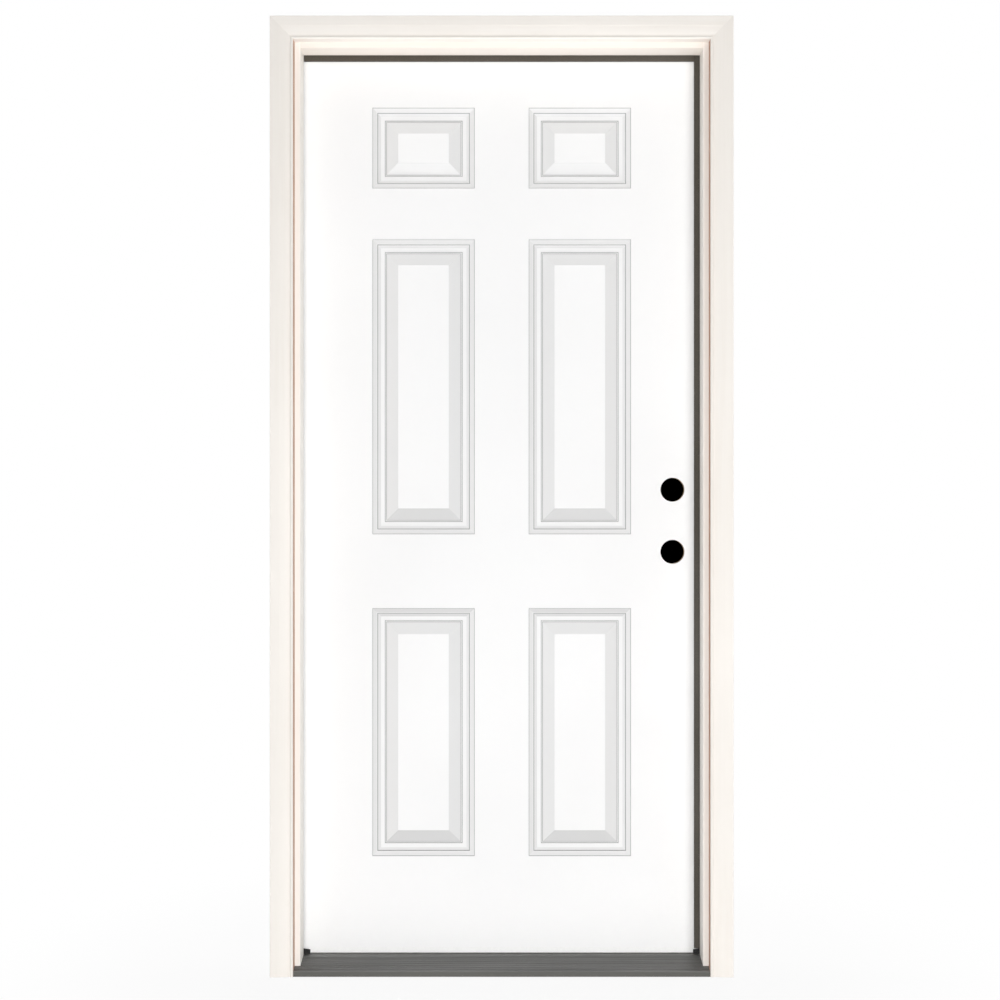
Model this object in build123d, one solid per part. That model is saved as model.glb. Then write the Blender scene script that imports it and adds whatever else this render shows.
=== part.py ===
from build123d import *
import os

# Prehung front door: a pressed steel slab with six panels, on three butt hinges in a primed wood frame.
# X runs to the right as seen from outside, Y runs into the house and Z runs up.
# The origin is at the middle of the sill's underside, in the plane of the jambs' outside edges.
# All lengths are in millimetres.

# Slab
slab_width = 908.05
slab_height = 2012.95
slab_thickness = 44.45
skin_gauge = 0.6
hem_depth = 6.0
stile_width = 32.0
rail_height = 32.0
slab_gap = 3.2
slab_lift = 39.7

# Pressed panels
panel_width = 230.0
mullion_width = 121.6
top_rail_face = 124.7
top_panel_height = 181.3
frieze_rail_face = 114.9
tall_panel_height = 663.2
lock_rail_face = 166.6
low_panel_height = 557.4
moulding_width = 58.0
moulding_depth = 9.0

# Lock preparation
bore_radius = 27.0
bore_backset = 69.85
bore_spacing = 139.7
bore_pair_rise = 959.1
edge_bore_radius = 12.7
faceplate_width = 25.4
faceplate_height = 57.15
faceplate_depth = 4.0
faceplate_corner = 6.35
lock_block_width = 96.0
lock_block_height = 330.0

# Jambs
jamb_depth = 115.9
jamb_back = 19.05
rabbet_depth = 12.7
seal_gap = 9.5
arris_radius = 1.6
kerf_width = 3.2
kerf_depth = 10.0
kerf_inset = 1.2
strike_width = 28.6
strike_height = 57.15
strike_depth = 1.6
keeper_width = 22.0
keeper_height = 28.0
keeper_depth = 14.0
strike_corner = 6.35

# Brickmould
brickmould_width = 50.8
brickmould_thickness = 31.75
brickmould_reveal = 12.7
bead_radius = 3.5
relief_width = 6.0
relief_depth = 1.6

# Weatherstrip
seal_clearance = 0.3
seal_wall = 1.0
seal_foot = 11.0
bulb_corner = 2.4
leg_thickness = 1.4
leg_depth = 9.0
barb_reach = 0.7
barb_height = 1.8
pocket_width = 17.0
pocket_height = 4.6
pocket_reach = 25.0
pocket_corner = 1.2
magnet_play = 0.1
seal_rise = 38.0
pad_reach = 27.0
pad_thickness = 7.0
pad_toe = 8.0

# Sill
sill_nose = 27.0
nose_height = 12.0
ridge_height = 26.0
ridge_width = 8.0
seat_height = 20.0
deck_wall = 2.0
deck_bend = 1.5
cap_height = 27.0
cap_shoulder = 24.0
cap_setback = 3.0
groove_count = 7
groove_width = 1.6
groove_depth = 0.7

# Door sweep
sweep_base = 2.0
sweep_leg = 2.4
fin_count = 4
fin_root = 3.2
fin_tip = 1.0
sweep_clearance = 0.4
barb_kerf = 3.0
barb_leg = 2.2
barb_depth = 9.0
barb_kerf_depth = 10.0

# Hinges
hinge_height = 101.6
hinge_cover = 38.1
pin_offset = 6.35
leaf_thickness = 2.4
leaf_corner = 15.9
knuckle_count = 5
knuckle_radius = 6.0
knuckle_gap = 0.3
pin_radius = 3.175
pin_play = 0.05
pin_head_radius = 5.4
pin_head_height = 3.6
pin_head_chamfer = 1.6
mortise_play = 0.2
top_hinge_drop = 177.8
low_hinge_rise = 279.4
screw_hole_radius = 2.2
countersink_radius = 4.6

overrun = 5.0

# Places that follow from the sizes above
slab_half = slab_width / 2
rabbet_half = slab_half + slab_gap
stop_half = rabbet_half - rabbet_depth
stop_depth = jamb_depth - slab_thickness - seal_gap
face_y = jamb_depth - slab_thickness
middle_y = jamb_depth - slab_thickness / 2
slab_top = slab_lift + slab_height
rabbet_top = slab_top + slab_gap
frame_top = rabbet_top + jamb_back
casing_edge = rabbet_depth - brickmould_reveal
bore_x = slab_half - bore_backset
pin_x = -slab_half - slab_gap / 2
pin_y = jamb_depth + pin_offset
ridge_y = stop_depth - ridge_width

bore_heights = {
    "latch": slab_lift + bore_pair_rise - bore_spacing / 2,
    "deadbolt": slab_lift + bore_pair_rise + bore_spacing / 2,
}
top_hinge_z = slab_top - top_hinge_drop - hinge_height / 2
low_hinge_z = slab_lift + low_hinge_rise + hinge_height / 2
hinge_heights = {
    "top": top_hinge_z,
    "middle": (top_hinge_z + low_hinge_z) / 2,
    "bottom": low_hinge_z,
}

# Section planes: local x runs from the rabbet towards the opening and local y runs into the house
hinge_side = Plane(origin=(-rabbet_half, 0, 0), x_dir=(1, 0, 0), z_dir=(0, 0, 1))
strike_side = Plane(origin=(rabbet_half, 0, frame_top), x_dir=(-1, 0, 0), z_dir=(0, 0, -1))
head_side = Plane(origin=(-rabbet_half, 0, rabbet_top), x_dir=(0, 0, -1), z_dir=(1, 0, 0))
slab_middle = Plane(origin=(0, middle_y, 0), x_dir=(1, 0, 0), z_dir=(0, 1, 0))
across = Plane(origin=(0, 0, 0), x_dir=(0, 1, 0), z_dir=(1, 0, 0))


def block(low, high):
    """A box between two corners."""
    size = [b - a for a, b in zip(low, high)]
    return Pos(*low) * Box(*size, align=(Align.MIN, Align.MIN, Align.MIN))


def rod(radius, start, length, direction):
    """A plain cylinder from a start point along a direction."""
    return Plane(origin=start, z_dir=direction) * extrude(Circle(radius), amount=length)


def outline(points):
    """A flat face inside straight lines."""
    return make_face(Polyline(*points, close=True))


def run(plane, section, length, start=0):
    """A section drawn on a plane and drawn out along it."""
    return plane.offset(start) * extrude(section, amount=length)


# Pressed panels

cove_start_shares = [(0.02, 0.14), (0.215, 0.60)]
cove_middle_shares = [(0.09, 0.285), (0.27, 0.74)]
cove_end_shares = [(0.185, 0.37), (0.35, 0.81)]
quirk_shares = [(0.475, 0.81), (0.5, 1.0), (0.525, 1.0), (0.55, 0.86)]


def moulding_point(share):
    """A point of the moulding, from shares of its width and depth."""
    return (share[0] * moulding_width, share[1] * moulding_depth)


def moulding_section():
    """The pressed moulding: two coves, a quirk, and the bevel up to the raised field."""
    coves = [
        ThreePointArc(*[moulding_point(share) for share in shares])
        for shares in zip(cove_start_shares, cove_middle_shares, cove_end_shares)
    ]
    outer = Polyline((0, -overrun), (0, 0), coves[0] @ 0)
    step = Line(coves[0] @ 1, coves[1] @ 0)
    quirk = [moulding_point(share) for share in quirk_shares]
    inner = Polyline(coves[1] @ 1, *quirk, (moulding_width, 0), (moulding_width, -overrun))
    close = Line(inner @ 1, outer @ 0)
    return make_face([outer, coves[0], step, coves[1], inner, close])


def panel_places():
    """Left edge, bottom edge and height of each of the six panels."""
    columns = [-mullion_width / 2 - panel_width, mullion_width / 2]
    top = slab_top
    places = []
    rows = [
        (top_rail_face, top_panel_height),
        (frieze_rail_face, tall_panel_height),
        (lock_rail_face, low_panel_height),
    ]
    for rail, height in rows:
        top = top - rail - height
        places += [(left, top, height) for left in columns]
    return places


def panel_recess(left, bottom, height):
    """The space pressed in along one panel's moulding, mitred at the corners."""
    middle = left + panel_width / 2
    right = left + panel_width
    top = bottom + height
    plane = Plane(origin=(middle, face_y, bottom), x_dir=(0, 0, 1), z_dir=(-1, 0, 0))
    corners = [(left, bottom), (left, top), (right, top), (right, bottom)]
    start = (middle, bottom)
    path = Polyline(*[(x, face_y, z) for x, z in [start, *corners, start]])
    return sweep(plane * moulding_section(), path=path, transition=Transition.RIGHT)


recesses = [panel_recess(*place) for place in panel_places()]
inner_recesses = [Pos(0, skin_gauge, 0) * recess for recess in recesses]


# Slab

def lock_bores():
    """The two large bores through the slab, for the latch and the deadbolt."""
    length = slab_thickness + 2 * overrun
    return [
        rod(bore_radius, (bore_x, face_y - overrun, z), length, (0, 1, 0))
        for z in bore_heights.values()
    ]


def edge_bores():
    """The two bores from the lock edge into the large ones, each with its faceplate mortise."""
    cuts = []
    for z in bore_heights.values():
        cuts.append(rod(edge_bore_radius, (bore_x, middle_y, z), bore_backset + overrun, (1, 0, 0)))
        plate = RectangleRounded(faceplate_width, faceplate_height, faceplate_corner)
        floor = Plane(origin=(slab_half - faceplate_depth, middle_y, z), x_dir=(0, 1, 0), z_dir=(1, 0, 0))
        cuts.append(floor * extrude(plate, amount=faceplate_depth + overrun))
    return cuts


def hem(side):
    """The skin's edge turned back over a stile."""
    edge = side * slab_half
    inner = edge - side * skin_gauge
    low = (min(edge, inner), face_y, slab_lift)
    high = (max(edge, inner), face_y + hem_depth, slab_top)
    return block(low, high)


def leaf_outline(play=0):
    """The leaf as it lies in its mortise, in Y and Z about the hinge's middle, round at its far corners."""
    reach = hinge_cover + play
    height = hinge_height + 2 * play
    face = Pos(jamb_depth - reach / 2, 0) * Rectangle(reach, height)
    far = face.vertices().group_by(Axis.X)[0]
    return fillet(far, leaf_corner + play)


def leaf_mortises(edge_x, depth_direction):
    """Shallow pockets for the three leaves on one edge, open to the inside of the house."""
    cuts = []
    for z in hinge_heights.values():
        plane = Plane(origin=(edge_x, 0, z), x_dir=(0, 1, 0), z_dir=(1, 0, 0))
        pocket = leaf_outline(mortise_play)
        open_end = Pos(jamb_depth + overrun / 2, 0) * Rectangle(overrun, hinge_height + 2 * mortise_play)
        inward = (depth_direction, 0, 0)
        cuts.append(extrude(plane * (pocket + open_end), amount=leaf_thickness, dir=inward))
    return cuts


def exterior_skin():
    """The outer sheet, pressed into six panels and hemmed over both stiles."""
    low = (-slab_half, face_y, slab_lift)
    high = (slab_half, middle_y, slab_top)
    pressed = block(low, high) - recesses
    sheet = pressed - Pos(0, skin_gauge, 0) * pressed
    return sheet + [hem(-1), hem(1)] - lock_bores() - leaf_mortises(-slab_half, 1)


def interior_skin(outer):
    """The inner sheet: the outer one mirrored, and notched for the hinge leaves."""
    return mirror(outer, about=slab_middle) - leaf_mortises(-slab_half, 1)


def stile(side):
    """A wood edge strip, rebated under the hems of both skins."""
    edge = side * slab_half
    inner = edge - side * stile_width
    low = (min(edge, inner), face_y + skin_gauge, slab_lift)
    high = (max(edge, inner), jamb_depth - skin_gauge, slab_top)
    hems = [hem(side), mirror(hem(side), about=slab_middle)]
    return block(low, high) - hems - sweep_kerfs()


def hinge_stile():
    """The hinge-edge strip with its leaf mortises."""
    return stile(-1) - leaf_mortises(-slab_half, 1)


def lock_stile():
    """The lock-edge strip with its latch bores."""
    return stile(1) - edge_bores()


def rail(bottom):
    """A strip between the stiles."""
    half = slab_half - stile_width
    low = (-half, face_y + skin_gauge, bottom)
    high = (half, jamb_depth - skin_gauge, bottom + rail_height)
    return block(low, high)


def sweep_kerf_places():
    """Where the sweep's two legs go up into the slab's bottom edge."""
    return [middle_y - slab_thickness / 4, middle_y + slab_thickness / 4]


def sweep_kerfs():
    """Two saw kerfs along the slab's bottom edge."""
    return [
        block(
            (-slab_half, y - barb_kerf / 2, slab_lift - overrun),
            (slab_half, y + barb_kerf / 2, slab_lift + barb_kerf_depth),
        )
        for y in sweep_kerf_places()
    ]


def lock_block_box():
    """The block of wood behind the lock stile."""
    right = slab_half - stile_width
    middle = slab_lift + bore_pair_rise
    low = (right - lock_block_width, face_y + skin_gauge, middle - lock_block_height / 2)
    high = (right, jamb_depth - skin_gauge, middle + lock_block_height / 2)
    return block(low, high)


def lock_block():
    """The block with the large bores through it and the latch bores from its edge."""
    return lock_block_box() - lock_bores() - edge_bores()


def foam_core():
    """Foam that fills the slab behind both pressed skins."""
    half = slab_half - stile_width
    low = (-half, face_y + skin_gauge, slab_lift + rail_height)
    high = (half, jamb_depth - skin_gauge, slab_top - rail_height)
    back = [mirror(recess, about=slab_middle) for recess in inner_recesses]
    return block(low, high) - inner_recesses - back - lock_block_box()


def door_sweep():
    """A vinyl strip under the slab: a base, an outer leg, a row of fins and two barbed legs."""
    tip = cap_height + sweep_clearance
    root = slab_lift - sweep_base
    inside = face_y + sweep_leg
    section = outline([
        (face_y, slab_lift),
        (face_y, tip),
        (inside, tip),
        (inside, root),
        (jamb_depth, root),
        (jamb_depth, slab_lift),
    ])
    pitch = (slab_thickness - sweep_leg - fin_root) / fin_count
    for number in range(fin_count):
        near = inside + pitch * (number + 1)
        far = near + fin_root
        section += outline([(near, root), (far, root), (far, tip), (far - fin_tip, tip)])
    for y in sweep_kerf_places():
        middle = (y, slab_lift + barb_depth / 2)
        section += Pos(*middle) * Rectangle(barb_leg, barb_depth)
    return run(across, section, slab_width, -slab_half)


# Frame

def jamb_section():
    """A jamb with its stop, its rabbet and the kerf for the weatherstrip."""
    points = [
        (-jamb_back, 0),
        (rabbet_depth, 0),
        (rabbet_depth, stop_depth),
        (0, stop_depth),
        (0, jamb_depth),
        (-jamb_back, jamb_depth),
    ]
    section = outline(points)
    stop_edge = section.vertices().group_by(Axis.X)[-1]
    section = fillet(stop_edge, arris_radius)
    kerf = outline([
        (kerf_inset, stop_depth + overrun),
        (kerf_inset, stop_depth - kerf_depth),
        (kerf_inset + kerf_width, stop_depth - kerf_depth),
        (kerf_inset + kerf_width, stop_depth + overrun),
    ])
    return section - kerf


def hinge_jamb():
    """The jamb that carries the hinges."""
    return run(hinge_side, jamb_section(), frame_top) - leaf_mortises(-rabbet_half, -1)


def strike_cuts():
    """Mortises and pockets for the two strikes."""
    cuts = []
    for z in bore_heights.values():
        face = Plane(origin=(rabbet_half, middle_y, z), x_dir=(0, 1, 0), z_dir=(1, 0, 0))
        plate = RectangleRounded(strike_width, strike_height, strike_corner)
        pocket = RectangleRounded(keeper_width, keeper_height, strike_corner)
        cuts.append(face.offset(-overrun) * extrude(plate, amount=strike_depth + overrun))
        cuts.append(face * extrude(pocket, amount=keeper_depth))
    return cuts


def strike_jamb():
    """The jamb that takes the latch and the deadbolt."""
    return run(strike_side, jamb_section(), frame_top) - strike_cuts()


def head_jamb():
    """The jamb over the slab, cut back at both ends around the side stops."""
    body = run(head_side, jamb_section(), 2 * rabbet_half)
    low = rabbet_top - rabbet_depth - overrun
    notches = [
        block((x, -overrun, low), (x + rabbet_depth, stop_depth, frame_top + overrun))
        for x in (-rabbet_half, stop_half)
    ]
    return body - notches


bead_base_share = 0.86
ovolo_shares = [(0.2, 0.89), (0.36, 0.955), (0.57, 0.98)]


def casing_point(share):
    """A point of the brickmould, from shares of its width and thickness."""
    return (casing_edge - share[0] * brickmould_width, -share[1] * brickmould_thickness)


def brickmould_section():
    """A casing with a bead at its inner edge, a quirk, an ovolo and a flat outer land."""
    base = -bead_base_share * brickmould_thickness
    bead_top = (casing_edge - bead_radius, base - bead_radius)
    bead = ThreePointArc((casing_edge, base), bead_top, (casing_edge - 2 * bead_radius, base))
    ovolo = ThreePointArc(*[casing_point(share) for share in ovolo_shares])
    quirk_floor = casing_point((ovolo_shares[0][0], bead_base_share))
    land_edge = casing_point((ovolo_shares[-1][0], 1))
    outer = casing_edge - brickmould_width
    relief = -jamb_back - relief_width
    rest = Polyline(
        ovolo @ 1,
        land_edge,
        (outer, -brickmould_thickness),
        (outer, 0),
        (relief, 0),
        (relief, -relief_depth),
        (-jamb_back, -relief_depth),
        (-jamb_back, 0),
        (casing_edge, 0),
        bead @ 0,
    )
    quirk = Polyline(bead @ 1, quirk_floor, ovolo @ 0)
    section = make_face([bead, quirk, ovolo, rest])
    corners = section.vertices().group_by(Axis.X)[0].sort_by(Axis.Y)[0]
    return fillet(corners, arris_radius)


def mitre_plane(side):
    """The mitre at a top corner of the casing, facing the head piece."""
    corner = (side * (rabbet_half - casing_edge), 0, rabbet_top - casing_edge)
    return Plane(origin=corner, x_dir=(0, 1, 0), z_dir=(-side, 0, 1))


def side_brickmould(plane, side):
    """A leg of the casing, mitred at its top."""
    height = frame_top + brickmould_width
    start = 0 if side < 0 else frame_top - height
    leg = run(plane, brickmould_section(), height, start)
    return split(leg, bisect_by=mitre_plane(side), keep=Keep.BOTTOM)


def head_brickmould():
    """The casing over the door, mitred at both ends."""
    reach = brickmould_width - casing_edge
    piece = run(head_side, brickmould_section(), 2 * (rabbet_half + reach), -reach)
    for side in (-1, 1):
        piece = split(piece, bisect_by=mitre_plane(side), keep=Keep.TOP)
    return piece


# Weatherstrip

def kerf_leg():
    """The barbed leg that holds a weatherstrip in its kerf."""
    middle = kerf_inset + kerf_width / 2
    half = leg_thickness / 2
    tip = stop_depth - leg_depth
    top = stop_depth + seal_wall
    leg = outline([(middle - half, top), (middle + half, top), (middle + half, tip), (middle - half, tip)])
    wide = half + barb_reach
    for number in (1, 2):
        back = tip + number * 2 * barb_height
        leg += outline([(middle - wide, back), (middle + wide, back), (middle, back - barb_height)])
    return leg


def bulb_section():
    """The hinge-side strip: a compressed bulb that stays behind the stop."""
    width = seal_foot - seal_clearance
    height = seal_gap - seal_clearance
    middle = (seal_clearance + width / 2, stop_depth + height / 2)
    return Pos(*middle) * RectangleRounded(width, height, bulb_corner) + kerf_leg()


def pocket_middle():
    """The middle of the magnet's pocket, against the slab's face."""
    return (pocket_reach - pocket_width / 2, face_y - seal_clearance - pocket_height / 2)


def magnetic_section():
    """The strike-side and head strip: a foot, a bellows fold and the pocket that holds the magnet."""
    foot = outline([
        (seal_clearance, stop_depth),
        (seal_foot, stop_depth),
        (seal_foot, stop_depth + seal_wall),
        (seal_clearance, stop_depth + seal_wall),
    ])
    pocket = Pos(*pocket_middle()) * RectangleRounded(pocket_width, pocket_height, pocket_corner)
    hollow = Pos(*pocket_middle()) * Rectangle(pocket_width - 2 * seal_wall, pocket_height - 2 * seal_wall)
    low = stop_depth + seal_wall / 2
    high = face_y - seal_clearance - pocket_height + seal_wall / 2
    fold = Polyline(
        (seal_foot - seal_wall, low),
        (seal_foot - pocket_height, (low + high) / 2),
        (seal_foot - seal_wall, high),
    )
    return foot + kerf_leg() + trace(fold, line_width=seal_wall) + pocket - hollow


def magnet_section():
    """The flexible magnet in its pocket."""
    shrink = 2 * (seal_wall + magnet_play)
    return Pos(*pocket_middle()) * Rectangle(pocket_width - shrink, pocket_height - shrink)


def side_seal(plane, section):
    """A strip up one side, from above the corner pad to the head rabbet."""
    top = rabbet_top - seal_clearance
    start = seal_rise if plane is hinge_side else frame_top - top
    return run(plane, section, top - seal_rise, start)


def head_seal(section):
    """A strip along the head, between the side strips."""
    start = max(seal_foot, rabbet_depth) + seal_clearance
    end = 2 * rabbet_half - pocket_reach - seal_clearance
    return run(head_side, section, end - start, start)


def corner_pad(side):
    """A foam wedge in a bottom corner, from the sill cap up to the end of the side strip."""
    bottom = cap_height + seal_clearance
    top = seal_rise - seal_clearance
    heel = rabbet_half - seal_clearance
    toe = rabbet_half - pad_reach
    shin = rabbet_half - seal_foot
    points = [(heel, bottom), (toe, bottom), (toe, bottom + pad_toe), (shin, top), (heel, top)]
    face = outline([(side * x, z) for x, z in points])
    plane = Plane(origin=(0, stop_depth, 0), x_dir=(1, 0, 0), z_dir=(0, -1, 0))
    return extrude(plane * face, amount=pad_thickness, dir=(0, 1, 0))


# Sill

def sill_outline(bottom):
    """The whole sill in section: nose, slope, ridge and seat."""
    return outline([
        (-sill_nose, bottom),
        (-sill_nose, nose_height),
        (ridge_y, ridge_height),
        (stop_depth, ridge_height),
        (stop_depth, seat_height),
        (jamb_depth, seat_height),
        (jamb_depth, bottom),
    ])


def substrate_section():
    """The composite core, inside the deck's wall."""
    return offset(sill_outline(-deck_wall), amount=-deck_wall, kind=Kind.INTERSECTION)


def deck_section():
    """The extruded deck over the core, with fine grooves along its slope."""
    shell = sill_outline(0) - substrate_section()
    nose = Vector(-sill_nose, nose_height)
    slope = Vector(ridge_y, ridge_height) - nose
    angle = Vector(1, 0).get_signed_angle(slope, Vector(0, 0, 1))
    for number in range(groove_count):
        point = nose + slope * ((number + 1) / (groove_count + 1))
        shell -= Pos(point.X, point.Y) * Rot(0, 0, angle) * Rectangle(groove_width, 2 * groove_depth)
    front = shell.vertices().group_by(Axis.X)[0].sort_by(Axis.Y)[-1]
    return fillet(front, deck_bend)


def cope(body):
    """A sill piece cut back at both ends around the jambs' stops."""
    cuts = [
        block((x, 0, -overrun), (x + rabbet_depth, stop_depth, ridge_height + overrun))
        for x in (-rabbet_half, stop_half)
    ]
    return body - cuts


def sill_piece(section):
    """A sill section along the whole width between the rabbets."""
    return cope(run(across, section, 2 * rabbet_half, -rabbet_half))


def cap_section():
    """The cap on the sill's seat, with a crowned top."""
    front = stop_depth + cap_setback
    middle = (front + jamb_depth) / 2
    crown = ThreePointArc((front, cap_shoulder), (middle, cap_height), (jamb_depth, cap_shoulder))
    sides = Polyline(crown @ 1, (jamb_depth, seat_height), (front, seat_height), crown @ 0)
    return make_face([crown, sides])


# Hinges

leaf_hole_shares = [(-0.38, 0.36), (-0.14, 0.74), (0.14, 0.74), (0.38, 0.36)]


def leaf_holes(z, edge_x, direction):
    """Four countersunk screw holes through a leaf, widest at the face that shows."""
    middle_x = edge_x + direction * leaf_thickness / 2
    return [
        Plane(
            origin=(middle_x, jamb_depth - across_share * hinge_cover, z + up_share * hinge_height),
            z_dir=(-direction, 0, 0),
        )
        * Cone(screw_hole_radius, countersink_radius, leaf_thickness)
        for up_share, across_share in leaf_hole_shares
    ]


def leaf(z, edge_x, direction, knuckles):
    """A hinge leaf: its plate, and the knuckles that it rolls into around the pin."""
    plane = Plane(origin=(edge_x, 0, z), x_dir=(0, 1, 0), z_dir=(1, 0, 0))
    body = extrude(plane * leaf_outline(), amount=leaf_thickness, dir=(direction, 0, 0))
    pitch = hinge_height / knuckle_count
    back_x = edge_x + direction * leaf_thickness
    for number in knuckles:
        low = z - hinge_height / 2 + number * pitch + knuckle_gap / 2
        high = low + pitch - knuckle_gap
        body += block((min(edge_x, back_x), jamb_depth, low), (max(edge_x, back_x), pin_y, high))
        body += rod(knuckle_radius, (pin_x, pin_y, low), high - low, (0, 0, 1))
    bore = rod(pin_radius + pin_play, (pin_x, pin_y, z - hinge_height), 2 * hinge_height, (0, 0, 1))
    return body - bore - leaf_holes(z, edge_x, direction)


def hinge_pin(z):
    """A pin with a chamfered head that rests on the top knuckle."""
    half = hinge_height / 2 - knuckle_gap / 2
    head = rod(pin_head_radius, (pin_x, pin_y, z + half), pin_head_height, (0, 0, 1))
    head = chamfer(head.edges().group_by(Axis.Z)[-1], pin_head_chamfer)
    return head + rod(pin_radius, (pin_x, pin_y, z - half), 2 * half, (0, 0, 1))


# Parts and files

def parts():
    """Every piece of the door and its frame, by name."""
    outer = exterior_skin()
    named = {
        "exterior_skin": outer,
        "interior_skin": interior_skin(outer),
        "foam_core": foam_core(),
        "hinge_stile": hinge_stile(),
        "lock_stile": lock_stile(),
        "lock_block": lock_block(),
        "top_rail": rail(slab_top - rail_height),
        "bottom_rail": rail(slab_lift) - sweep_kerfs(),
        "door_sweep": door_sweep(),
        "hinge_jamb": hinge_jamb(),
        "strike_jamb": strike_jamb(),
        "head_jamb": head_jamb(),
        "hinge_brickmould": side_brickmould(hinge_side, -1),
        "strike_brickmould": side_brickmould(strike_side, 1),
        "head_brickmould": head_brickmould(),
        "hinge_seal": side_seal(hinge_side, bulb_section()),
        "strike_seal": side_seal(strike_side, magnetic_section()),
        "head_seal": head_seal(magnetic_section()),
        "strike_magnet": side_seal(strike_side, magnet_section()),
        "head_magnet": head_seal(magnet_section()),
        "hinge_corner_pad": corner_pad(-1),
        "strike_corner_pad": corner_pad(1),
        "sill_substrate": sill_piece(substrate_section()),
        "sill_deck": sill_piece(deck_section()),
        "sill_cap": run(across, cap_section(), 2 * rabbet_half, -rabbet_half),
    }
    for name, z in hinge_heights.items():
        odd = range(1, knuckle_count, 2)
        even = range(0, knuckle_count, 2)
        named[f"{name}_hinge_door_leaf"] = leaf(z, -slab_half, 1, odd)
        named[f"{name}_hinge_jamb_leaf"] = leaf(z, -rabbet_half, -1, even)
        named[f"{name}_hinge_pin"] = hinge_pin(z)
    return named


os.makedirs("parts", exist_ok=True)
for part_name, shape in parts().items():
    export_step(shape, f"parts/{part_name}.step")
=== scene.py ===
"""The front door and its frame, dressed: finishes, hinge screws, soft light and the camera."""
import logging
import math
from dataclasses import dataclass
from enum import Enum
from typing import Any

import bmesh
import bpy
from mathutils import Matrix, Vector


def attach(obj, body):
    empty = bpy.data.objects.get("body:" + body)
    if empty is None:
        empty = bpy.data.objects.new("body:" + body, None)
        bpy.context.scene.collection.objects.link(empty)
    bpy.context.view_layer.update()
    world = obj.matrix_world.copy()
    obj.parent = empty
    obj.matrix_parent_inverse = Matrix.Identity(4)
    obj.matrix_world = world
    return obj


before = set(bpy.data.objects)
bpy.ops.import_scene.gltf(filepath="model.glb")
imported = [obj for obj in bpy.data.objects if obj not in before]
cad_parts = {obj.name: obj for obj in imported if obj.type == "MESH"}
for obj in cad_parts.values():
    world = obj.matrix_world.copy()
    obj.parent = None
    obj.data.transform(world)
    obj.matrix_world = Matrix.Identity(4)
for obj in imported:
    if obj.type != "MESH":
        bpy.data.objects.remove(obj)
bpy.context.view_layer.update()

SLAB_MIDDLE = 0.093675
LOG = logging.getLogger("front_door")

Colour = tuple[float, float, float]
Point = tuple[float, float, float]
Span = tuple[float, float]
Inputs = dict[str | int, Any]

WHITE = (1.0, 1.0, 1.0, 1.0)
WHOLE: Span = (0.0, 1.0)


class Grain(Enum):
    """How tightly streaks are packed along X, Y and Z, per metre."""

    UP = (90.0, 90.0, 3.0)
    ACROSS = (3.0, 90.0, 90.0)
    TIMBER = (60.0, 60.0, 2.0)


class Nodes(Enum):
    """The CAD nodes that share a finish."""

    SKINS = ("exterior_skin", "interior_skin")
    LEGS = ("hinge_brickmould", "strike_brickmould")
    HEAD_CASING = ("head_brickmould",)
    HEAD_JAMB = ("head_jamb",)
    JAMBS = ("hinge_jamb", "strike_jamb")
    TIMBERS = ("hinge_stile", "lock_stile", "lock_block", "top_rail", "bottom_rail")
    FOAM = ("foam_core",)
    SWEEP = ("door_sweep",)
    SEALS = ("hinge_seal", "strike_seal", "head_seal")
    MAGNETS = ("strike_magnet", "head_magnet")
    PADS = ("hinge_corner_pad", "strike_corner_pad")
    DECK = ("sill_deck",)
    COMPOSITE = ("sill_substrate", "sill_cap")
    HINGES = tuple(
        f"{level}_hinge_{piece}"
        for level in ("top", "middle", "bottom")
        for piece in ("door_leaf", "jamb_leaf", "pin")
    )


class Graph:
    """A node tree that is filled one node at a time."""

    def __init__(self, tree: bpy.types.NodeTree) -> None:
        """Keep the tree.

        Args:
            tree: The node tree to fill.
        """
        self.tree = tree

    def node(self, kind: str, inputs: Inputs | None = None, **settings: Any) -> bpy.types.Node:
        """Add a node.

        Args:
            kind: Blender's name of the node's type.
            inputs: Sockets by name or number, each with a constant or a socket to link.
            settings: The node's own settings.

        Returns:
            The new node.
        """
        made = self.tree.nodes.new(kind)
        for name, value in settings.items():
            setattr(made, name, value)
        for key, value in (inputs or {}).items():
            if isinstance(value, bpy.types.NodeSocket):
                self.tree.links.new(value, made.inputs[key])
            else:
                made.inputs[key].default_value = value
        return made

    def math(self, operation: str, first: Any, second: Any = 0.0) -> bpy.types.NodeSocket:
        """Add a math node and return its output.

        Args:
            operation: The node's operation.
            first: A number or a socket.
            second: A number or a socket.

        Returns:
            The output socket.
        """
        return self.node("ShaderNodeMath", {0: first, 1: second}, operation=operation).outputs[0]

    def ramp(
        self, value: Any, span: Span, start: Any = 0.0, end: Any = 1.0
    ) -> bpy.types.NodeSocket:
        """Map a value smoothly from one span to another.

        Args:
            value: The socket to map.
            span: Where the value's span starts and ends.
            start: What the span's start becomes, a number or a socket.
            end: What the span's end becomes, a number or a socket.

        Returns:
            The mapped socket.
        """
        low, high = span
        inputs = {"Value": value, "From Min": low, "From Max": high, "To Min": start, "To Max": end}
        made = self.node("ShaderNodeMapRange", inputs, interpolation_type="SMOOTHSTEP")
        return made.outputs["Result"]

    def mix(self, factor: Any, first: Any, second: Any) -> bpy.types.NodeSocket:
        """Mix two colours.

        Args:
            factor: The share of the second colour.
            first: A colour or a socket.
            second: A colour or a socket.

        Returns:
            The mixed colour's socket.
        """
        made = self.node("ShaderNodeMix", data_type="RGBA")
        for number, value in ((0, factor), (6, first), (7, second)):
            if isinstance(value, bpy.types.NodeSocket):
                self.tree.links.new(value, made.inputs[number])
            elif number:
                made.inputs[number].default_value = (*value, 1.0)
            else:
                made.inputs[number].default_value = value
        return made.outputs[2]


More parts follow.
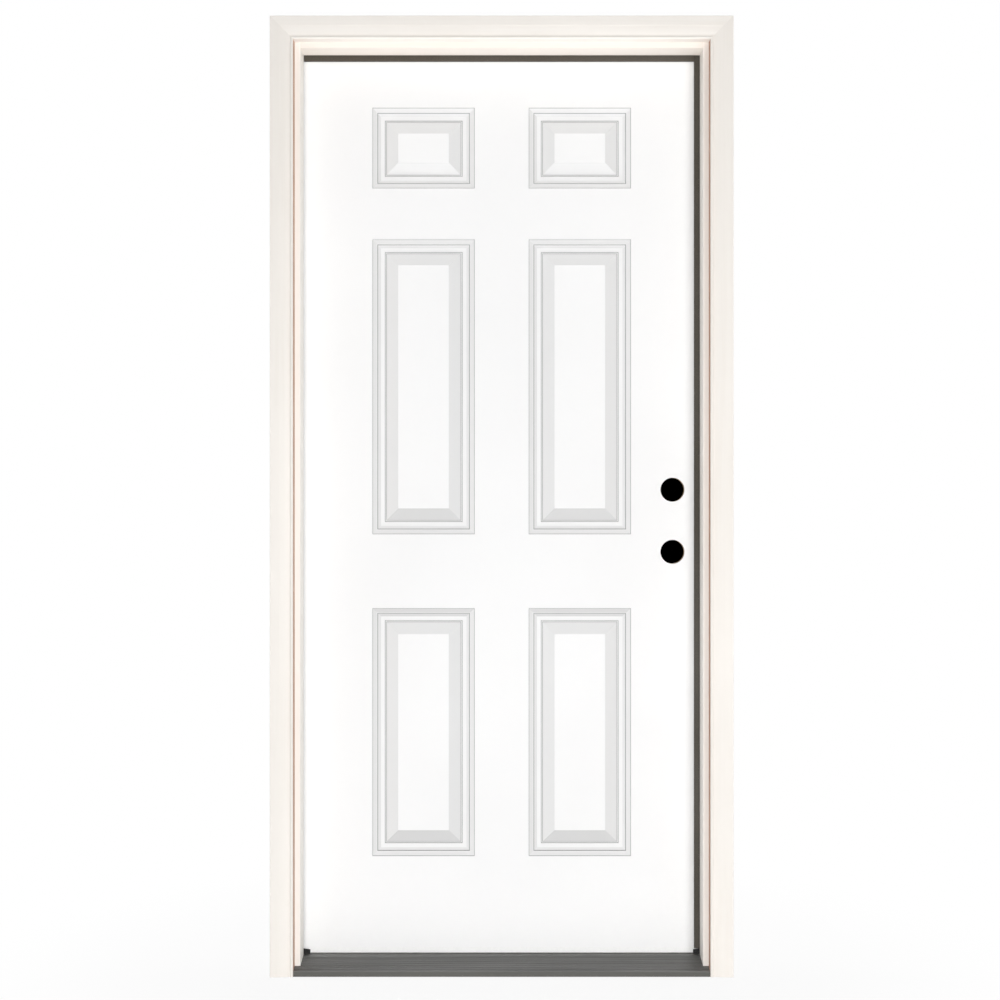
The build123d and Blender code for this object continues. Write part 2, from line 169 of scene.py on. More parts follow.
@dataclass(frozen=True)
class ReliefShade:
    """Painted shade on the pressed relief: how grey its slopes are by facing and height, and its
    recess floor.

    Facings are parts of the surface's normal, heights and depths are in metres, and shades are
    shares of the primer's second colour, its painted shade colour.
    """

    slope_facing: Span = (0.985, 0.9985)
    step_facing: Span = (0.7, 0.93)
    side_facing: Span = (-0.08, 0.2)
    side_shades: Span = (0.42, 0.68)
    down_facing: Span = (-0.18, -0.02)
    under_heights: Span = (1.5, 1.75)
    under_shades: Span = (1.0, 0.42)
    up_facing: Span = (0.02, 0.18)
    over_heights: Span = (0.9, 1.4)
    over_shades: Span = (0.45, 0.24)
    floor_depths: Span = (0.015, 0.0168)
    floor_shade: float = 0.13


@dataclass(frozen=True)
class Noise:
    """The scales of the shared patterns, and the spans that turn them into masks."""

    drift_scale: float = 2.4
    drift_span: Span = (0.3, 0.7)
    streak_bend: float = 0.7
    streak_span: Span = (0.32, 0.68)
    fine_scale: float = 5.0


class Effects:
    """The effects that several finishes share, each a node group that is built once."""

    noise = Noise()
    shades = ReliefShade()

    def __init__(self) -> None:
        """Build the groups."""
        self.film = self.make_film()
        self.grain = self.make_grain()
        # The relief group paints shade on the pressed relief.
        self.relief = self.make_relief_shade()

    @staticmethod
    def new_group(
        name: str, inputs: dict[str, str], outputs: tuple[str, ...]
    ) -> tuple[Graph, bpy.types.Node, bpy.types.Node]:
        """Start a shader node group.

        Args:
            name: The group's name.
            inputs: Input names with their socket types.
            outputs: Names of its number outputs.

        Returns:
            The graph, its input node and its output node.
        """
        tree = bpy.data.node_groups.new(name, "ShaderNodeTree")
        for label, kind in inputs.items():
            tree.interface.new_socket(label, in_out="INPUT", socket_type=kind)
        for label in outputs:
            tree.interface.new_socket(label, in_out="OUTPUT", socket_type="NodeSocketFloat")
        graph = Graph(tree)
        return graph, graph.node("NodeGroupInput"), graph.node("NodeGroupOutput")

    def make_film(self) -> bpy.types.NodeTree:
        """Build the sprayed film: a fine pebbled height and a slow drift of tone.

        Returns:
            The node group.
        """
        sockets = {"Pebble": "NodeSocketFloat"}
        graph, inlet, outlet = self.new_group("film", sockets, ("Height", "Tone"))
        place = graph.node("ShaderNodeTexCoord").outputs["Object"]
        pebble = {"Vector": place, "Scale": inlet.outputs["Pebble"], "Detail": 3.0}
        fine = graph.node("ShaderNodeTexNoise", pebble)
        drift = {"Vector": place, "Scale": self.noise.drift_scale, "Detail": 2.0}
        slow = graph.node("ShaderNodeTexNoise", drift)
        tone = graph.ramp(slow.outputs["Fac"], self.noise.drift_span)
        graph.tree.links.new(fine.outputs["Fac"], outlet.inputs["Height"])
        graph.tree.links.new(tone, outlet.inputs["Tone"])
        return graph.tree

    def make_grain(self) -> bpy.types.NodeTree:
        """Build long streaks: wood grain, and the draw lines of an extrusion.

        Returns:
            The node group.
        """
        sockets = {"Packing": "NodeSocketVector"}
        graph, inlet, outlet = self.new_group("grain", sockets, ("Height", "Streak"))
        place = graph.node("ShaderNodeTexCoord").outputs["Object"]
        packed = graph.node(
            "ShaderNodeVectorMath", {0: place, 1: inlet.outputs["Packing"]}, operation="MULTIPLY"
        ).outputs[0]
        bent = {"Vector": packed, "Scale": 1.0, "Detail": 5.0, "Distortion": self.noise.streak_bend}
        broad = graph.node("ShaderNodeTexNoise", bent)
        close = {"Vector": packed, "Scale": self.noise.fine_scale, "Detail": 3.0}
        fine = graph.node("ShaderNodeTexNoise", close)
        streak = graph.ramp(broad.outputs["Fac"], self.noise.streak_span)
        graph.tree.links.new(fine.outputs["Fac"], outlet.inputs["Height"])
        graph.tree.links.new(streak, outlet.inputs["Streak"])
        return graph.tree

    def make_relief_shade(self) -> bpy.types.NodeTree:
        """Build the painted shade masks of the pressed relief: its slopes, its steps and its recess
        floor.

        Returns:
            The node group.
        """
        shades = self.shades
        graph, _, outlet = self.new_group("relief", {}, ("Slope", "StepShade"))
        coordinates = graph.node("ShaderNodeTexCoord").outputs
        normal = graph.node("ShaderNodeSeparateXYZ", {0: coordinates["Normal"]}).outputs
        place = graph.node("ShaderNodeSeparateXYZ", {0: coordinates["Object"]}).outputs
        # Slopes and steps are painted greyer the more they turn from the face, steps darkest:
        # painted shade.
        facing = graph.math("ABSOLUTE", normal["Y"])
        slope_shade = graph.ramp(facing, shades.slope_facing, 1.0, 0.0)
        step_shade = graph.ramp(facing, shades.step_facing, 1.0, 0.0)
        # Painted shade and light by facing and height: more on slopes facing right or down, less on
        # those facing left or up.
        sides = graph.ramp(normal["X"], shades.side_facing, *shades.side_shades)
        under = graph.ramp(place["Z"], shades.under_heights, *shades.under_shades)
        over = graph.ramp(place["Z"], shades.over_heights, *shades.over_shades)
        falling = graph.ramp(normal["Z"], shades.down_facing, under, sides)
        share = graph.ramp(normal["Z"], shades.up_facing, falling, over)
        # The recess floor is painted greyer by its depth in the skin: painted shade in the recess.
        inside = graph.math("ABSOLUTE", graph.math("SUBTRACT", place["Y"], SLAB_MIDDLE))
        floor = graph.ramp(inside, shades.floor_depths, shades.floor_shade, 0.0)
        tone = graph.math("MAXIMUM", graph.math("MULTIPLY", slope_shade, share), floor)
        graph.tree.links.new(tone, outlet.inputs["Slope"])
        graph.tree.links.new(step_shade, outlet.inputs["StepShade"])
        return graph.tree


@dataclass(frozen=True)
class Finish:
    """A finish with a main colour and a second one that its pattern brings in."""

    name: str
    colour: Colour
    second: Colour
    roughness: float
    rough_drift: float
    bump: float
    bump_depth: float

    def start(self) -> tuple[bpy.types.Material, Graph, bpy.types.Node]:
        """Make an empty material with its surface shader.

        Returns:
            The material, its graph and the surface shader.
        """
        material = bpy.data.materials.new(self.name)
        material.use_nodes = True
        material.node_tree.nodes.clear()
        graph = Graph(material.node_tree)
        surface = graph.node("ShaderNodeBsdfPrincipled")
        graph.node("ShaderNodeOutputMaterial", {"Surface": surface.outputs[0]})
        return material, graph, surface

    def finish(
        self, graph: Graph, surface: bpy.types.Node, colour: Any, rough: Any, height: Any
    ) -> None:
        """Link colour, roughness and bump to the surface.

        Args:
            graph: The material's graph.
            surface: The surface shader.
            colour: The colour's socket.
            rough: A mask from 0 to 1 that drifts the roughness.
            height: The bump's height.
        """
        low, high = self.roughness, self.roughness + self.rough_drift
        relief = {"Strength": self.bump, "Distance": self.bump_depth, "Height": height}
        bump = graph.node("ShaderNodeBump", relief)
        links = graph.tree.links
        links.new(colour, surface.inputs["Base Color"])
        links.new(graph.ramp(rough, WHOLE, low, high), surface.inputs["Roughness"])
        links.new(bump.outputs[0], surface.inputs["Normal"])


@dataclass(frozen=True)
class SprayedPrimer(Finish):
    """White primer on pressed steel, with shade painted on the slopes of the relief and darkest on
    its steps.
    """

    # The step colour is painted shade on the relief's steep steps.
    step_shade: Colour = (0.4, 0.4, 0.4)
    pebble: float = 420.0
    drift: float = 0.985

    def material(self, effects: Effects) -> bpy.types.Material:
        """Build the material.

        Args:
            effects: The shared node groups.

        Returns:
            The material.
        """
        material, graph, surface = self.start()
        film = graph.node("ShaderNodeGroup", node_tree=effects.film)
        film.inputs["Pebble"].default_value = self.pebble
        relief = graph.node("ShaderNodeGroup", node_tree=effects.relief)
        faded = tuple(share * self.drift for share in self.colour)
        flat = graph.mix(film.outputs["Tone"], self.colour, faded)
        # The relief's masks paint shade: the second colour on slopes, the step colour on steps.
        slope_shaded = graph.mix(relief.outputs["Slope"], flat, self.second)
        colour = graph.mix(relief.outputs["StepShade"], slope_shaded, self.step_shade)
        self.finish(graph, surface, colour, film.outputs["Tone"], film.outputs["Height"])
        return material


@dataclass(frozen=True)
class PrimedTimber(Finish):
    """Cream primer on pine, with the grain just showing and, if asked, a bare inner side."""

    roughness: float = 0.5
    rough_drift: float = 0.1
    bump: float = 0.12
    bump_depth: float = 0.0005
    pebble: float = 260.0
    packing: Grain = Grain.UP
    bare: Colour | None = None
    bare_dark: Colour = (0.0, 0.0, 0.0)
    bare_edge: float = 0.0

    def material(self, effects: Effects) -> bpy.types.Material:
        """Build the material.

        Args:
            effects: The shared node groups.

        Returns:
            The material.
        """
        material, graph, surface = self.start()
        grain = graph.node("ShaderNodeGroup", node_tree=effects.grain)
        grain.inputs["Packing"].default_value = self.packing.value
        film = graph.node("ShaderNodeGroup", node_tree=effects.film)
        film.inputs["Pebble"].default_value = self.pebble
        streaked = graph.math("MULTIPLY", grain.outputs["Streak"], film.outputs["Tone"])
        colour = graph.mix(streaked, self.colour, self.second)
        if self.bare:
            bare = graph.mix(grain.outputs["Streak"], self.bare, self.bare_dark)
            colour = graph.mix(self.bare_side(graph), colour, bare)
        self.finish(graph, surface, colour, film.outputs["Tone"], grain.outputs["Height"])
        return material

    def bare_side(self, graph: Graph) -> bpy.types.NodeSocket:
        """Mask the flat inner side, which is sawn after priming.

        Args:
            graph: The material's graph.

        Returns:
            The mask's socket.
        """
        place = graph.node("ShaderNodeTexCoord").outputs["Object"]
        across = graph.node("ShaderNodeSeparateXYZ", {0: place}).outputs["X"]
        return graph.math("LESS_THAN", graph.math("ABSOLUTE", across), self.bare_edge)


@dataclass(frozen=True)
class Timber(Finish):
    """Bare planed pine."""

    packing: Grain = Grain.TIMBER

    def material(self, effects: Effects) -> bpy.types.Material:
        """Build the material.

        Args:
            effects: The shared node groups.

        Returns:
            The material.
        """
        material, graph, surface = self.start()
        grain = graph.node("ShaderNodeGroup", node_tree=effects.grain)
        grain.inputs["Packing"].default_value = self.packing.value
        colour = graph.mix(grain.outputs["Streak"], self.colour, self.second)
        self.finish(graph, surface, colour, grain.outputs["Streak"], grain.outputs["Height"])
        return material


@dataclass(frozen=True)
class Moulded(Finish):
    """Vinyl, rubber, foam or composite with a pebbled surface."""

    pebble: float = 300.0
    mottle: Span = (0.35, 0.7)

    def material(self, effects: Effects) -> bpy.types.Material:
        """Build the material.

        Args:
            effects: The shared node groups.

        Returns:
            The material.
        """
        material, graph, surface = self.start()
        film = graph.node("ShaderNodeGroup", node_tree=effects.film)
        film.inputs["Pebble"].default_value = self.pebble
        mottled = graph.ramp(film.outputs["Height"], self.mottle)
        colour = graph.mix(mottled, self.colour, self.second)
        self.finish(graph, surface, colour, film.outputs["Tone"], film.outputs["Height"])
        return material


@dataclass(frozen=True)
class DrawnMetal(Finish):
    """Metal with draw lines along its length and, if asked, a darker colour along its foot."""

    packing: Grain = Grain.ACROSS
    metallic: float = 1.0
    dark_foot: Colour | None = None
    dark_foot_height: float = 0.0
    dark_foot_full: float = 0.8

    def material(self, effects: Effects) -> bpy.types.Material:
        """Build the material.

        Args:
            effects: The shared node groups.

        Returns:
            The material.
        """
        material, graph, surface = self.start()
        surface.inputs["Metallic"].default_value = self.metallic
        grain = graph.node("ShaderNodeGroup", node_tree=effects.grain)
        grain.inputs["Packing"].default_value = self.packing.value
        colour = graph.mix(grain.outputs["Streak"], self.colour, self.second)
        if self.dark_foot:
            colour = graph.mix(self.foot(graph), colour, self.dark_foot)
        self.finish(graph, surface, colour, grain.outputs["Streak"], grain.outputs["Height"])
        return material

    def foot(self, graph: Graph) -> bpy.types.NodeSocket:
        """Mask the lowest part, which is painted darker.

        Args:
            graph: The material's graph.

        Returns:
            The mask's socket.
        """
        place = graph.node("ShaderNodeTexCoord").outputs["Object"]
        level = graph.node("ShaderNodeSeparateXYZ", {0: place}).outputs["Z"]
        return graph.ramp(level, (self.dark_foot_full * self.dark_foot_height, self.dark_foot_height), 1.0, 0.0)


# One cream primer in lighter and darker copies per part: the jambs' and head casing's are lighter,
# painted light; the head jamb's is darker, painted shade.
CREAM = (0.885, 0.845, 0.795)
CREAM_LOW = (0.865, 0.82, 0.765)
LIT_CREAM = (0.965, 0.93, 0.88)
LIT_CREAM_LOW = (0.945, 0.905, 0.85)
PALE_LIT_CREAM = (0.92, 0.88, 0.83)
PALE_LIT_CREAM_LOW = (0.9, 0.855, 0.8)
SHADED_CREAM = (0.875, 0.815, 0.755)
SHADED_CREAM_LOW = (0.855, 0.79, 0.725)
PINE = (0.56, 0.33, 0.22)
PINE_DARK = (0.42, 0.21, 0.13)

# The primer's second colour is the painted shade of the relief's slopes.
WHITE_PRIMER = SprayedPrimer(
    "white_primer", (0.95, 0.95, 0.95), (0.68, 0.68, 0.68),
    roughness=0.66, rough_drift=0.08, bump=0.05, bump_depth=0.0004,
)
PALE_LIT_ACROSS = PrimedTimber("cream_primer_painted_light_across", PALE_LIT_CREAM, PALE_LIT_CREAM_LOW, packing=Grain.ACROSS)
SHADED_CREAM_ACROSS = PrimedTimber("cream_primer_painted_shade_across", SHADED_CREAM, SHADED_CREAM_LOW, packing=Grain.ACROSS)
LIT_CREAM_UP = PrimedTimber("cream_primer_painted_light_up", LIT_CREAM, LIT_CREAM_LOW)
CREAM_LEG = PrimedTimber(
    "cream_primer_leg", CREAM, CREAM_LOW, bare=PINE, bare_dark=PINE_DARK, bare_edge=0.4573
)
BARE_PINE = Timber(
    "bare_pine", (0.66, 0.48, 0.30), (0.50, 0.33, 0.18),
    roughness=0.6, rough_drift=0.1, bump=0.25, bump_depth=0.0006,
)
CORE_FOAM = Moulded(
    "core_foam", (0.80, 0.72, 0.50), (0.72, 0.63, 0.42),
    roughness=0.85, rough_drift=0.1, bump=0.6, bump_depth=0.001, pebble=500.0,
)
WHITE_VINYL = Moulded(
    "white_vinyl", (0.95, 0.95, 0.94), (0.92, 0.92, 0.91),
    roughness=0.45, rough_drift=0.1, bump=0.1, bump_depth=0.0004,
)
BRONZE_VINYL = Moulded(
    "bronze_vinyl", (0.066, 0.054, 0.039), (0.05, 0.041, 0.03),
    roughness=0.55, rough_drift=0.12, bump=0.2, bump_depth=0.0004,
)
MAGNET = Moulded(
    "magnet_strip", (0.035, 0.035, 0.035), (0.02, 0.02, 0.02),
    roughness=0.6, rough_drift=0.1, bump=0.2, bump_depth=0.0004,
)
BLACK_FOAM = Moulded(
    "black_foam", (0.022, 0.022, 0.022), (0.006, 0.006, 0.006),
    roughness=0.85, rough_drift=0.1, bump=0.7, bump_depth=0.0012, pebble=650.0,
)
# The extrusion is painted darker along its lowest 12 mm.
GREY_EXTRUSION = DrawnMetal(
    "grey_extrusion", (0.16, 0.16, 0.155), (0.13, 0.13, 0.125),
    roughness=0.42, rough_drift=0.12, bump=0.12, bump_depth=0.0004,
    metallic=0.35, dark_foot=(0.075, 0.075, 0.067), dark_foot_height=0.0122,
)
GREY_COMPOSITE = Moulded(
    "grey_composite", (0.34, 0.335, 0.32), (0.28, 0.275, 0.26),
    roughness=0.5, rough_drift=0.12, bump=0.2, bump_depth=0.0005,
)
SATIN_ZINC = DrawnMetal(
    "satin_zinc", (0.40, 0.39, 0.365), (0.33, 0.32, 0.30),
    roughness=0.32, rough_drift=0.12, bump=0.1, bump_depth=0.0003, packing=Grain.UP,
)
BRIGHT_ZINC = DrawnMetal(
    "bright_zinc", (0.46, 0.45, 0.43), (0.40, 0.39, 0.37),
    roughness=0.26, rough_drift=0.1, bump=0.05, bump_depth=0.0002, packing=Grain.UP,
)

DRESSING = {
    Nodes.SKINS: WHITE_PRIMER,
    Nodes.LEGS: CREAM_LEG,
    Nodes.HEAD_CASING: PALE_LIT_ACROSS,
    Nodes.HEAD_JAMB: SHADED_CREAM_ACROSS,
    Nodes.JAMBS: LIT_CREAM_UP,
    Nodes.TIMBERS: BARE_PINE,
    Nodes.FOAM: CORE_FOAM,
    Nodes.SWEEP: WHITE_VINYL,
    Nodes.SEALS: BRONZE_VINYL,
    Nodes.MAGNETS: MAGNET,
    Nodes.PADS: BLACK_FOAM,
    Nodes.DECK: GREY_EXTRUSION,
    Nodes.COMPOSITE: GREY_COMPOSITE,
    Nodes.HINGES: SATIN_ZINC,
}


def new_object(name: str, bm: bmesh.types.BMesh, material: bpy.types.Material) -> bpy.types.Object:
    """Turn a finished bmesh into an object of the scene.

    Args:
        name: The object's name.
        bm: The mesh, which is freed.
        material: Its finish.

    Returns:
        The object.
    """
    mesh = bpy.data.meshes.new(name)
    bm.to_mesh(mesh)
    bm.free()
    mesh.materials.append(material)
    made = bpy.data.objects.new(name, mesh)
    bpy.context.scene.collection.objects.link(made)
    return made


@dataclass
class HingeScrews:
    """Countersunk screws with a cross recess, four to each hinge leaf."""

    head_radius: float = 0.00455
    shank_radius: float = 0.00215
    head_depth: float = 0.0023
    slot_half: float = 0.00052
    slot_reach: float = 0.0022
    slot_depth: float = 0.0013
    slot_taper: float = 0.6
    rim: float = 0.00018
    rim_share: float = 0.97
    sides: int = 32
    jamb_face: float = -0.457225
    door_face: float = -0.454025
    back_edge: float = 0.1159
    cover: float = 0.0381
    height: float = 0.1016
    shares: tuple[Span, ...] = ((-0.38, 0.36), (-0.14, 0.74), (0.14, 0.74), (0.38, 0.36))
    turns: tuple[float, ...] = (0.2, 0.9, 1.3, 0.5)
    order: Point = (1.0, 0.377, 0.113)

    def head(self, bm: bmesh.types.BMesh, place: Matrix) -> None:
        """Add one screw head, with its top in the plane of the leaf.

        Args:
            bm: The mesh to add to.
            place: Where the head goes; its local Z points out of the leaf.
        """
        piece = bmesh.new()
        bmesh.ops.create_circle(piece, cap_ends=True, radius=self.head_radius, segments=self.sides)
        rim_edges = [edge for edge in piece.edges if edge.is_boundary]
        under = bmesh.ops.extrude_edge_only(piece, edges=rim_edges)["geom"]
        low = [item for item in under if isinstance(item, bmesh.types.BMVert)]
        share = self.shank_radius / self.head_radius
        bmesh.ops.scale(piece, vec=(share, share, 1.0), verts=low)
        bmesh.ops.translate(piece, vec=(0.0, 0.0, -self.head_depth), verts=low)
        bmesh.ops.contextual_create(piece, geom=[edge for edge in piece.edges if edge.is_boundary])
        for axis in (Vector((1, 0, 0)), Vector((0, 1, 0))):
            for reach in (-self.slot_reach, -self.slot_half, self.slot_half, self.slot_reach):
                top = [face for face in piece.faces if self.on_top(face.calc_center_median())]
                around = dict.fromkeys(item for face in top for item in (*face.verts, *face.edges))
                bmesh.ops.bisect_plane(
                    piece, geom=[*around, *top], plane_co=axis * reach, plane_no=axis
                )
        cross = [face for face in piece.faces if self.in_cross(face)]
        sunk = bmesh.ops.extrude_face_region(piece, geom=cross)["geom"]
        floor = [item for item in sunk if isinstance(item, bmesh.types.BMVert)]
        bmesh.ops.translate(piece, vec=(0.0, 0.0, -self.slot_depth), verts=floor)
        bmesh.ops.scale(piece, vec=(self.slot_taper, self.slot_taper, 1.0), verts=floor)
        bmesh.ops.delete(piece, geom=cross, context="FACES")
        outer = [edge for edge in piece.edges if self.on_rim(edge)]
        bmesh.ops.bevel(
            piece, geom=outer, offset=self.rim, segments=2, profile=0.5, affect="EDGES", material=-1
        )
        bmesh.ops.recalc_face_normals(piece, faces=piece.faces)
        self.put_in_order(piece)
        bmesh.ops.transform(piece, matrix=place, verts=piece.verts)
        mesh = bpy.data.meshes.new("head")
        piece.to_mesh(mesh)
        piece.free()
        bm.from_mesh(mesh)
        bpy.data.meshes.remove(mesh)

    def put_in_order(self, piece: bmesh.types.BMesh) -> None:
        """Sort a head's elements by place, since a bevel adds them in a new order each run.

        Args:
            piece: The head, before it is put in its place.
        """
        piece.verts.sort(key=lambda vert: vert.co.dot(self.order))
        piece.edges.sort(key=lambda edge: sum(corner.co.dot(self.order) for corner in edge.verts))
        piece.faces.sort(key=lambda face: face.calc_center_median().dot(self.order))

    def on_top(self, point: Vector) -> bool:
        """Tell whether a point lies in the plane of the head's top."""
        return abs(point.z) < self.rim / 2

    def in_cross(self, face: bmesh.types.BMFace) -> bool:
        """Tell whether a face of the head's top lies in the cross.

        Args:
            face: The face to test.

        Returns:
            Whether it does.
        """
        middle = face.calc_center_median()
        near, far = sorted((abs(middle.x), abs(middle.y)))
        return self.on_top(middle) and near < self.slot_half and far < self.slot_reach

    def on_rim(self, edge: bmesh.types.BMEdge) -> bool:
        """Tell whether an edge runs round the head's top."""
        least = self.rim_share * self.head_radius
        return all(self.on_top(corner.co) and corner.co.length > least for corner in edge.verts)

    def build(
        self, name: str, level: float, on_door: bool, material: bpy.types.Material
    ) -> bpy.types.Object:
        """Build the four screws of one leaf.

        Args:
            name: The piece's name.
            level: The height of the hinge's middle.
            on_door: Whether the leaf is the door's.
            material: The screws' finish.

        Returns:
            The piece, which rides on the leaf's body.
        """
        bm = bmesh.new()
        face = self.door_face if on_door else self.jamb_face
        quarter = -math.pi / 2 if on_door else math.pi / 2
        for (up, across), turn in zip(self.shares, self.turns):
            spot = Vector((face, self.back_edge - across * self.cover, level + up * self.height))
            turned = Matrix.Rotation(quarter, 4, "Y") @ Matrix.Rotation(turn, 4, "Z")
            self.head(bm, Matrix.Translation(spot) @ turned)
        made = new_object(name, bm, material)
        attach(made, "door" if on_door else "frame")
        return made


@dataclass
class BoreShadeCards:
    """Black cards painted as the shade inside the two lock bores, which have no lock in them yet.
    """

    radius: float = 0.0269
    x: float = 0.384175
    y: float = SLAB_MIDDLE
    levels: tuple[float, ...] = (0.92895, 1.06865)
    sides: int = 64

    def build(self) -> bpy.types.Object:
        """Build a black card across each bore, painted shade in place of its dark inside, as part
        of the studio.

        Returns:
            The cards, which move with the door.
        """
        bm = bmesh.new()
        for level in self.levels:
            spot = Matrix.Translation((self.x, self.y, level))
            place = spot @ Matrix.Rotation(math.pi / 2, 4, "X")
            bmesh.ops.create_circle(
                bm, cap_ends=True, radius=self.radius, segments=self.sides, matrix=place
            )
        material = bpy.data.materials.new("bore_shade_card")
        material.use_nodes = True
        surface = material.node_tree.nodes["Principled BSDF"]
        surface.inputs["Base Color"].default_value = (0.0, 0.0, 0.0, 1.0)
        surface.inputs["Roughness"].default_value = 1.0
        surface.inputs["Specular IOR Level"].default_value = 0.0
        made = new_object("bore_shade_cards", bm, material)
        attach(made, "door")
        return made


@dataclass(frozen=True)
class Lamp:
    """A soft rectangular lamp, which a grid can narrow and no camera sees."""

    name: str
    place: Point
    aim: Point
    width: float
    height: float
    power: float
    spread: float = math.pi
    mirrored: bool = True

    def build(self) -> bpy.types.Object:
        """Build the lamp.

        Returns:
            The lamp's object.
        """
        data = bpy.data.lights.new(self.name, "AREA")
        data.shape = "RECTANGLE"
        data.size, data.size_y = self.width, self.height
        data.energy = self.power
        data.spread = self.spread
        made = bpy.data.objects.new(self.name, data)
        made.location = self.place
        made.visible_camera = False
        made.visible_glossy = self.mirrored
        beam = Vector(self.aim) - Vector(self.place)
        made.rotation_euler = beam.to_track_quat("-Z", "Y").to_euler()
        bpy.context.scene.collection.objects.link(made)
        return made


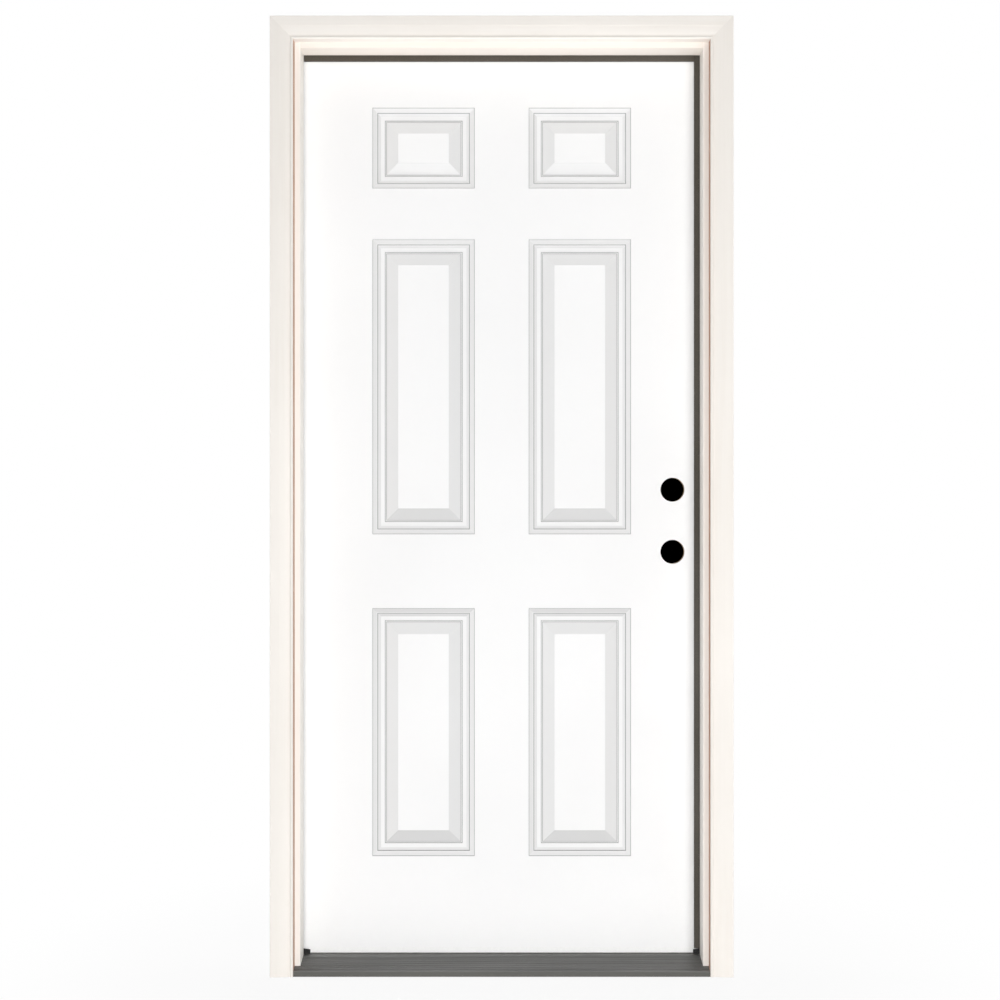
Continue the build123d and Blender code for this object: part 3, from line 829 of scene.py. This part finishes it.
@dataclass
class Studio:
    """The floor, the lamps, the white surroundings and the camera."""

    floor_half: float = 30.0
    floor_drop: float = 0.0004
    floor_colour: Colour = (0.88, 0.88, 0.88)
    shadow_share: float = 0.1
    fade_start: float = 0.45
    fade_end: float = 1.3
    surroundings: float = 0.22
    distance: float = 3.75
    front: float = -0.03175
    eye_level: float = 1.0455
    scale: float = 0.0021897
    sensor: float = 36.0
    frame_pixels: float = 1000.0
    middle_pixel: float = 501.7
    clip_end: float = 200.0
    lamps: tuple[Lamp, ...] = (
        Lamp("key", (3.0, -7.2, 0.9), (0.0, 0.0, 1.0), width=1.6, height=1.5, power=140.0),
        Lamp("front", (-0.2, -7.5, 0.9), (0.0, 0.0, 1.0), width=1.4, height=1.5, power=111.0),
        Lamp("low", (0.0, -3.2, 0.2), (0.0, 0.0, 0.6), width=1.3, height=0.35, power=24.5),
        Lamp("left", (-4.4, 1.2, 1.6), (0.0, 0.05, 1.05), width=1.6, height=2.0, power=62.0),
        Lamp("right", (4.4, 1.2, 1.6), (0.0, 0.05, 1.05), width=1.6, height=2.0, power=62.0),
        Lamp("back", (1.2, 5.0, 1.9), (0.0, 0.0, 1.05), width=2.4, height=2.0, power=112.0),
        Lamp("top", (0.0, 0.7, 4.7), (0.0, 0.05, 2.1), width=2.0, height=1.2, power=28.0),
        Lamp(
            "lift", (0.0, -0.2, 0.03), (0.0, 0.02, 2.05),
            width=0.9, height=0.08, power=0.2, spread=0.25, mirrored=False,
        ),
        Lamp(
            "foot", (0.0, -2.6, 0.15), (0.0, 0.07, 0.06),
            width=1.0, height=0.1, power=0.045, spread=0.16, mirrored=False,
        ),
    )

    def seen(self, graph: Graph) -> bpy.types.NodeSocket:
        """Mask the rays that show the surroundings: from the camera, a gloss or a glass.

        Args:
            graph: The graph to add to.

        Returns:
            The mask's socket.
        """
        path = graph.node("ShaderNodeLightPath").outputs
        mirrored = graph.math("MAXIMUM", path["Is Glossy Ray"], path["Is Transmission Ray"])
        return graph.math("MAXIMUM", path["Is Camera Ray"], mirrored)

    def build_world(self) -> None:
        """Make the surroundings white to look at and an even soft light otherwise."""
        world = bpy.data.worlds.new("surroundings")
        world.use_nodes = True
        world.node_tree.nodes.clear()
        graph = Graph(world.node_tree)
        strength = graph.ramp(self.seen(graph), WHOLE, self.surroundings, 1.0)
        sky = graph.node("ShaderNodeBackground", {"Color": WHITE, "Strength": strength})
        graph.node("ShaderNodeOutputWorld", {"Surface": sky.outputs[0]})
        bpy.context.scene.world = world

    def build_floor(self) -> bpy.types.Object:
        """Build a pale floor that keeps the shadow near the door and fades to white.

        Returns:
            The floor.
        """
        bm = bmesh.new()
        place = Matrix.Translation((0.0, 0.0, -self.floor_drop))
        bmesh.ops.create_grid(bm, x_segments=1, y_segments=1, size=self.floor_half, matrix=place)
        material = bpy.data.materials.new("pale_floor")
        material.use_nodes = True
        material.node_tree.nodes.clear()
        graph = Graph(material.node_tree)
        spot = graph.node("ShaderNodeTexCoord").outputs["Object"]
        away = graph.node("ShaderNodeVectorMath", {0: spot}, operation="LENGTH").outputs["Value"]
        fade = graph.ramp(away, (self.fade_start, self.fade_end), 1.0 - self.shadow_share, 1.0)
        white = graph.math("MULTIPLY", self.seen(graph), fade)
        matt = graph.node("ShaderNodeBsdfDiffuse", {"Color": (*self.floor_colour, 1.0)})
        glow = graph.node("ShaderNodeEmission", {"Color": WHITE, "Strength": 1.0})
        both = {0: white, 1: matt.outputs[0], 2: glow.outputs[0]}
        surface = graph.node("ShaderNodeMixShader", both)
        graph.node("ShaderNodeOutputMaterial", {"Surface": surface.outputs[0]})
        made = new_object("floor", bm, material)
        return made

    def build_camera(self) -> bpy.types.Object:
        """Set the camera square to the door, at the photograph's eye level and distance.

        Returns:
            The camera.
        """
        data = bpy.data.cameras.new("camera")
        data.sensor_width = self.sensor
        data.lens = self.sensor * self.distance / (self.scale * self.frame_pixels)
        data.shift_x = (self.frame_pixels / 2 - self.middle_pixel) / self.frame_pixels
        data.clip_end = self.clip_end
        made = bpy.data.objects.new("camera", data)
        made.location = (0.0, self.front - self.distance, self.eye_level)
        made.rotation_euler = (math.pi / 2, 0.0, 0.0)
        bpy.context.scene.collection.objects.link(made)
        bpy.context.scene.camera = made
        return made

    def build(self) -> None:
        """Build the whole studio."""
        bpy.context.scene.view_settings.view_transform = "Standard"
        self.build_world()
        self.build_floor()
        self.build_camera()
        for lamp in self.lamps:
            LOG.info("lamp %s", lamp.build().name)


@dataclass
class FrontDoor:
    """The door with its frame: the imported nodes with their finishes, and the hinge screws."""

    effects: Effects
    hinge_levels: tuple[tuple[str, float], ...] = (
        ("top", 1.82405),
        ("middle", 1.096975),
        ("bottom", 0.3699),
    )

    def dress(self) -> None:
        """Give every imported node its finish."""
        for group, finish in DRESSING.items():
            material = finish.material(self.effects)
            for name in group.value:
                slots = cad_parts[name].data.materials
                slots.clear()
                slots.append(material)
                LOG.info("%s gets %s", name, finish.name)

    def fasten(self) -> None:
        """Add the hinge screws."""
        screws = HingeScrews()
        material = BRIGHT_ZINC.material(self.effects)
        for name, level in self.hinge_levels:
            for side in ("door", "jamb"):
                made = screws.build(f"{name}_hinge_{side}_screws", level, side == "door", material)
                LOG.info("piece %s", made.name)

    def build(self) -> None:
        """Dress the nodes and add the small pieces."""
        self.dress()
        self.fasten()


def main() -> None:
    """Build the door, the black cards painted as shade inside the bores, and the studio."""
    logging.basicConfig(level=logging.INFO, format="%(message)s")
    FrontDoor(Effects()).build()
    LOG.info("stage piece %s", BoreShadeCards().build().name)
    Studio().build()


if __name__ == "__main__":
    main()
